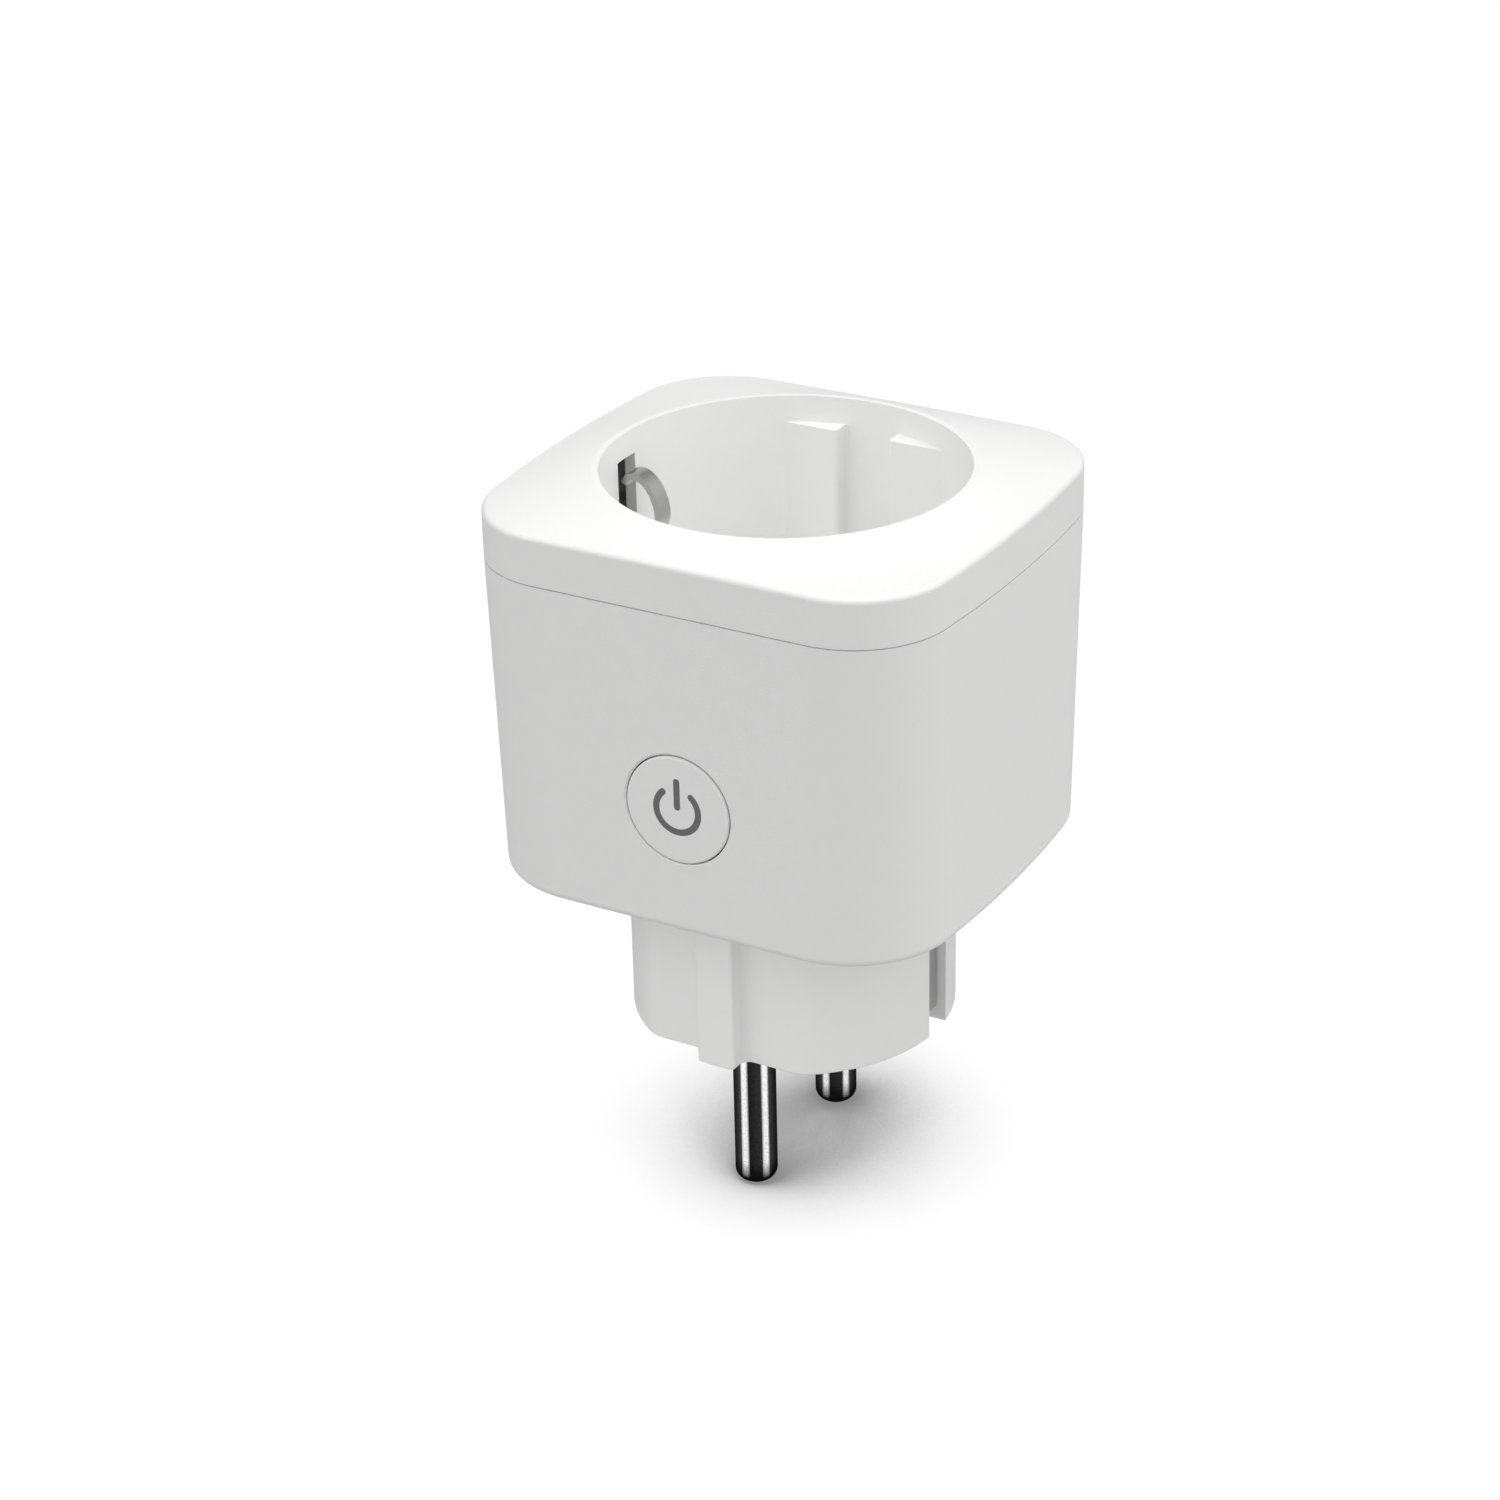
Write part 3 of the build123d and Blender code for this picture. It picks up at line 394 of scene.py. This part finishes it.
def add_floor():
    """Pale paper: white to the camera but for a painted contact shadow, plain to the lights, clear from
    below.
    """
    mesh = bpy.data.meshes.new("floor")
    corners = [(-1, -1), (1, -1), (1, 1), (-1, 1)]
    points = [(x * FLOOR_HALF, y * FLOOR_HALF, PIN_TIP_Z) for x, y in corners]
    mesh.from_pydata(points, [], [(0, 1, 2, 3)])
    floor = bpy.data.objects.new("floor", mesh)
    scene.collection.objects.link(floor)
    n = new_material("floor_paper")
    point = n.object_point()
    # Painted shadow: ambient occlusion from nearby parts darkens the floor's glow to the camera
    lean = n.unit(SHADOW_LEAN)
    wide = n.add(
        "ShaderNodeAmbientOcclusion",
        {"Distance": SHADOW_REACH, "Normal": lean},
        samples=SHADOW_SAMPLES,
    )
    tight = n.add("ShaderNodeAmbientOcclusion", {"Distance": CONTACT_REACH}, samples=CONTACT_SAMPLES)
    contact = n.spread(tight.outputs["AO"], CONTACT_DARKEST, 1.0, 0.5, 1.0)
    shade = n.math("MULTIPLY", n.ramp(wide.outputs["AO"], SHADOW_LEVELS), contact)
    level = n.math("MULTIPLY", shade, n.spread(n.noise(point, PAPER_SCALE, 4), 0.985, 1.0))
    seen = n.add("ShaderNodeEmission", {"Strength": level}).outputs[0]
    bounced = n.add("ShaderNodeBsdfDiffuse", {"Color": grey(FLOOR_BOUNCE)}).outputs[0]
    clear = n.add("ShaderNodeBsdfTransparent").outputs[0]
    from_above = n.mix_shader(n.add("ShaderNodeLightPath").outputs["Is Camera Ray"], bounced, seen)
    mesh.materials.append(n.finish(n.mix_shader(n.geometry("Backfacing"), from_above, clear)))


def add_area(name, place, target, size, power):
    """Rectangular light at a place, aimed at a target."""
    data = bpy.data.lights.new(name, "AREA")
    data.shape = "RECTANGLE"
    data.size, data.size_y = size
    data.energy = power
    light = bpy.data.objects.new(name, data)
    scene.collection.objects.link(light)
    aim = (Vector(target) - Vector(place)).to_track_quat("-Z", "Y")
    light.matrix_world = Matrix.Translation(place) @ aim.to_matrix().to_4x4()
    return light


def light_only(light, names):
    """Limits a light to the named pieces."""
    group = bpy.data.collections.new(light.name + "_receivers")
    for name in names:
        group.objects.link(nodes[name])
    light.light_linking.receiver_collection = group
    light.visible_camera = False


def add_lights():
    """Broad key light above, and small fills inside the recess and under the front of the barrel."""
    overhead = (0.1, 0.05, 1.0)
    mid_body = (0, 0, 30 * MM)
    add_area("key", overhead, mid_body, (0.7, 0.7), KEY_POWER)
    over_recess = (8 * MM, -14 * MM, RIM_Z + 20 * MM)
    back_wall = (-5 * MM, 14 * MM, RIM_Z - 9 * MM)
    fill = add_area("recess_fill", over_recess, back_wall, (30 * MM, 15 * MM), RECESS_FILL)
    light_only(fill, ["top_cover"])
    low_front = (15 * MM, -150 * MM, PIN_TIP_Z + 5 * MM)
    fill = add_area("barrel_fill", low_front, (0, 0, 0), (0.2, 0.08), BARREL_FILL)
    light_only(fill, ["plug_base"])


def add_world():
    """White to the camera; to everything else a dim dome with broad soft boxes."""
    world = bpy.data.worlds.new("studio")
    scene.world = world
    n = Nodes(world)
    direction = n.unit(n.add("ShaderNodeTexCoord").outputs["Generated"])
    total = DOME_FILL
    for azimuth, elevation, sharpness, strength in SOFT_BOXES:
        a, e = radians(azimuth), radians(elevation)
        aim = (sin(a) * cos(e), -cos(a) * cos(e), sin(e))
        dot = n.add("ShaderNodeVectorMath", {0: direction, 1: aim}, operation="DOT_PRODUCT")
        facing = n.math("MAXIMUM", dot.outputs["Value"], 0.0)
        total = n.math("MULTIPLY_ADD", n.math("POWER", facing, sharpness), strength, total)
    soft = n.add("ShaderNodeBackground", {"Strength": total}).outputs[0]
    seen = n.add("ShaderNodeBackground", {"Strength": 1.0}).outputs[0]
    mix = n.mix_shader(n.add("ShaderNodeLightPath").outputs["Is Camera Ray"], soft, seen)
    n.finish(mix, "ShaderNodeOutputWorld")


dress_frame()
add_floor()
add_camera()
add_world()
add_lights()
scene.view_settings.view_transform = "Standard"
scene.view_settings.look = "None"
